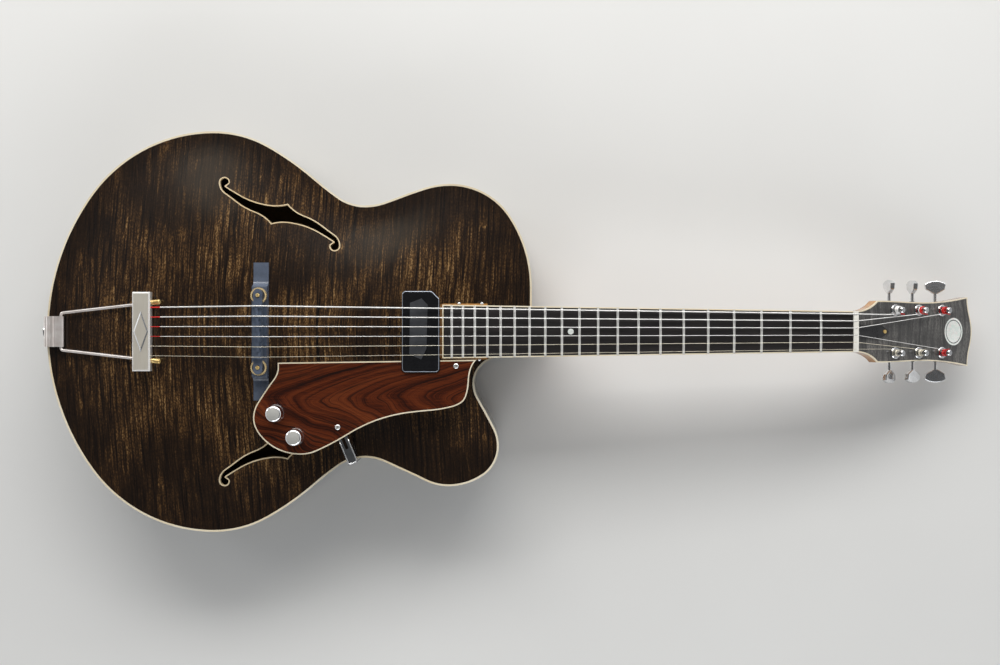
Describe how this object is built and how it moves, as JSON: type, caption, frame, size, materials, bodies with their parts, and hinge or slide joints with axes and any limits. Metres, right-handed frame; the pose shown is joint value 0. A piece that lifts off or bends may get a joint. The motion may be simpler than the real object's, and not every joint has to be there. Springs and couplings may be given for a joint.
{
  "type": "archtop guitar",
  "caption": "Hollow-body archtop guitar with a carved arched top, bound f-holes, rounded cutaway, floating pickup and pickguard, adjustable bridge and trapeze tailpiece.",
  "frame": {"origin": "under the middle of the overall length on the centre line, level with the lowest point of the arched back", "axes": "+X from the tail to the head, +Y to the bass side, +Z out of the top; the guitar lies on its back"},
  "size_m": [1.0444, 0.434, 0.14],
  "materials": {
    "flamed_top": "transparent dark brown lacquer over flamed maple, gloss",
    "flamed_sides": "transparent dark brown lacquer over flamed maple, gloss",
    "cream_binding": "ivory cream celluloid, polished",
    "brace_spruce": "bare spruce, sanded",
    "neck_maple": "amber lacquer over maple, satin gloss",
    "ebony": "oiled ebony",
    "head_veneer": "dark grey figured veneer, gloss",
    "rosewood": "polished rosewood with dark grain",
    "pearl": "mother of pearl",
    "bone": "polished bone",
    "fret_nickel": "polished nickel silver",
    "chrome": "polished chrome",
    "satin_nickel": "satin nickel",
    "brass": "polished brass",
    "black_plastic": "satin black moulding",
    "coil_wire": "enamelled winding",
    "string_wound": "wound nickel steel with red silk ends",
    "string_plain": "bright plain steel",
    "rod_steel": "plain steel"
  },
  "bodies": {
    "guitar": {"top_plate": "flamed_top", "back_plate": "flamed_sides", "rims": "flamed_sides", "body_bindings": "cream_binding", "sound_hole_bindings": "cream_binding", "linings": "brace_spruce", "tone_bars": "brace_spruce", "end_blocks": "brace_spruce", "neck": "neck_maple", "heel_cap": "ebony", "truss_rod": "rod_steel", "fretboard": "ebony", "fretboard_binding": "cream_binding", "frets": "fret_nickel", "pearl_inlays": "pearl", "nut": "bone", "fretboard_riser": "ebony", "pickup_plate": "rosewood", "headstock_veneer": "head_veneer", "headstock_binding": "cream_binding", "truss_rod_cover": "black_plastic", "truss_cover_screw": "brass", "tuner_housings": "chrome", "tuner_bushings": "chrome", "tuner_screws": "chrome", "bridge_base": "ebony", "bridge_studs": "brass", "tailpiece_hinge": "chrome", "tailpiece_screws": "chrome", "end_pin_jack": "chrome", "pickguard": "rosewood", "pickguard_binding": "cream_binding", "pickguard_screws": "chrome", "pickguard_block": "ebony", "pickguard_bracket": "satin_nickel", "pickup_cover": "black_plastic", "pickup_coils": "coil_wire", "potentiometers": "satin_nickel", "wound_strings": "string_wound", "plain_strings": "string_plain"},
    "tuner_key_1": {"tuner_key_1": "chrome"},
    "tuner_post_1": {"tuner_post_1": "chrome"},
    "tuner_key_2": {"tuner_key_2": "chrome"},
    "tuner_post_2": {"tuner_post_2": "chrome"},
    "tuner_key_3": {"tuner_key_3": "chrome"},
    "tuner_post_3": {"tuner_post_3": "chrome"},
    "tuner_key_4": {"tuner_key_4": "chrome"},
    "tuner_post_4": {"tuner_post_4": "chrome"},
    "tuner_key_5": {"tuner_key_5": "chrome"},
    "tuner_post_5": {"tuner_post_5": "chrome"},
    "tuner_key_6": {"tuner_key_6": "chrome"},
    "tuner_post_6": {"tuner_post_6": "chrome"},
    "volume_knob": {"volume_knob": "chrome"},
    "tone_knob": {"tone_knob": "chrome"},
    "saddle": {"bridge_saddle": "ebony"},
    "bass_thumbwheel": {"thumbwheel_bass": "brass"},
    "treble_thumbwheel": {"thumbwheel_treble": "brass"},
    "tailpiece": {"tailpiece_rod": "chrome", "tailpiece_crossbar": "satin_nickel", "tailpiece_nuts": "brass"}
  },
  "joints": [
    {"name": "key_1_turn", "type": "hinge", "parent": "guitar", "child": "tuner_key_1", "pos_m": [0.42286, 0.0236, 0.05082], "axis": [0, 1, 0], "continuous": true},
    {"name": "post_1_turn", "type": "hinge", "parent": "guitar", "child": "tuner_post_1", "pos_m": [0.42231, 0.0236, 0.07207], "axis": [0.3518, 0, 0.9361], "continuous": true},
    {"name": "key_2_turn", "type": "hinge", "parent": "guitar", "child": "tuner_key_2", "pos_m": [0.45282, 0.0236, 0.03956], "axis": [0, 1, 0], "continuous": true},
    {"name": "post_2_turn", "type": "hinge", "parent": "guitar", "child": "tuner_post_2", "pos_m": [0.45226, 0.0236, 0.06081], "axis": [0.3518, 0, 0.9361], "continuous": true},
    {"name": "key_3_turn", "type": "hinge", "parent": "guitar", "child": "tuner_key_3", "pos_m": [0.48277, 0.0236, 0.0283], "axis": [0, 1, 0], "continuous": true},
    {"name": "post_3_turn", "type": "hinge", "parent": "guitar", "child": "tuner_post_3", "pos_m": [0.48222, 0.0236, 0.04955], "axis": [0.3518, 0, 0.9361], "continuous": true},
    {"name": "key_4_turn", "type": "hinge", "parent": "guitar", "child": "tuner_key_4", "pos_m": [0.42286, -0.0236, 0.05082], "axis": [0, -1, 0], "continuous": true},
    {"name": "post_4_turn", "type": "hinge", "parent": "guitar", "child": "tuner_post_4", "pos_m": [0.42231, -0.0236, 0.07207], "axis": [0.3518, 0, 0.9361], "continuous": true},
    {"name": "key_5_turn", "type": "hinge", "parent": "guitar", "child": "tuner_key_5", "pos_m": [0.45282, -0.0236, 0.03956], "axis": [0, -1, 0], "continuous": true},
    {"name": "post_5_turn", "type": "hinge", "parent": "guitar", "child": "tuner_post_5", "pos_m": [0.45226, -0.0236, 0.06081], "axis": [0.3518, 0, 0.9361], "continuous": true},
    {"name": "key_6_turn", "type": "hinge", "parent": "guitar", "child": "tuner_key_6", "pos_m": [0.48277, -0.0236, 0.0283], "axis": [0, -1, 0], "continuous": true},
    {"name": "post_6_turn", "type": "hinge", "parent": "guitar", "child": "tuner_post_6", "pos_m": [0.48222, -0.0236, 0.04955], "axis": [0.3518, 0, 0.9361], "continuous": true},
    {"name": "volume_turn", "type": "hinge", "parent": "guitar", "child": "volume_knob", "pos_m": [-0.25124, -0.0865, 0.11967], "axis": [0, 0, 1], "range_deg": [-150, 150]},
    {"name": "tone_turn", "type": "hinge", "parent": "guitar", "child": "tone_knob", "pos_m": [-0.23014, -0.1115, 0.11967], "axis": [0, 0, 1], "range_deg": [-150, 150]},
    {"name": "saddle_lift", "type": "slide", "parent": "guitar", "child": "saddle", "axis": [0, 0, 1], "range_m": [-0.0013, 0.0041], "deforming": ["wound_strings", "plain_strings"]},
    {"name": "bass_wheel_turn", "type": "hinge", "parent": "saddle", "child": "bass_thumbwheel", "pos_m": [-0.26775, 0.038, 0.1256], "axis": [0, 0, 1], "range_deg": [-540, 1800], "deforming": ["wound_strings", "plain_strings"]},
    {"name": "treble_wheel_turn", "type": "hinge", "parent": "saddle", "child": "treble_thumbwheel", "pos_m": [-0.26775, -0.038, 0.1256], "axis": [0, 0, 1], "range_deg": [-560, 1820]},
    {"name": "tailpiece_swing", "type": "hinge", "parent": "guitar", "child": "tailpiece", "pos_m": [-0.48668, 0, 0.0994], "axis": [0, -1, 0], "range_deg": [-1, 6], "deforming": ["wound_strings", "plain_strings"]}
  ],
  "couplings": [
    {"joint": "post_1_turn", "follows": "key_1_turn", "ratio": -0.0625},
    {"joint": "post_2_turn", "follows": "key_2_turn", "ratio": -0.0625},
    {"joint": "post_3_turn", "follows": "key_3_turn", "ratio": -0.0625},
    {"joint": "post_4_turn", "follows": "key_4_turn", "ratio": -0.0625},
    {"joint": "post_5_turn", "follows": "key_5_turn", "ratio": -0.0625},
    {"joint": "post_6_turn", "follows": "key_6_turn", "ratio": -0.0625},
    {"joint": "saddle_lift", "follows": "bass_wheel_turn", "m_per_rad": 0.00012732},
    {"joint": "treble_wheel_turn", "follows": "bass_wheel_turn", "ratio": 1}
  ]
}
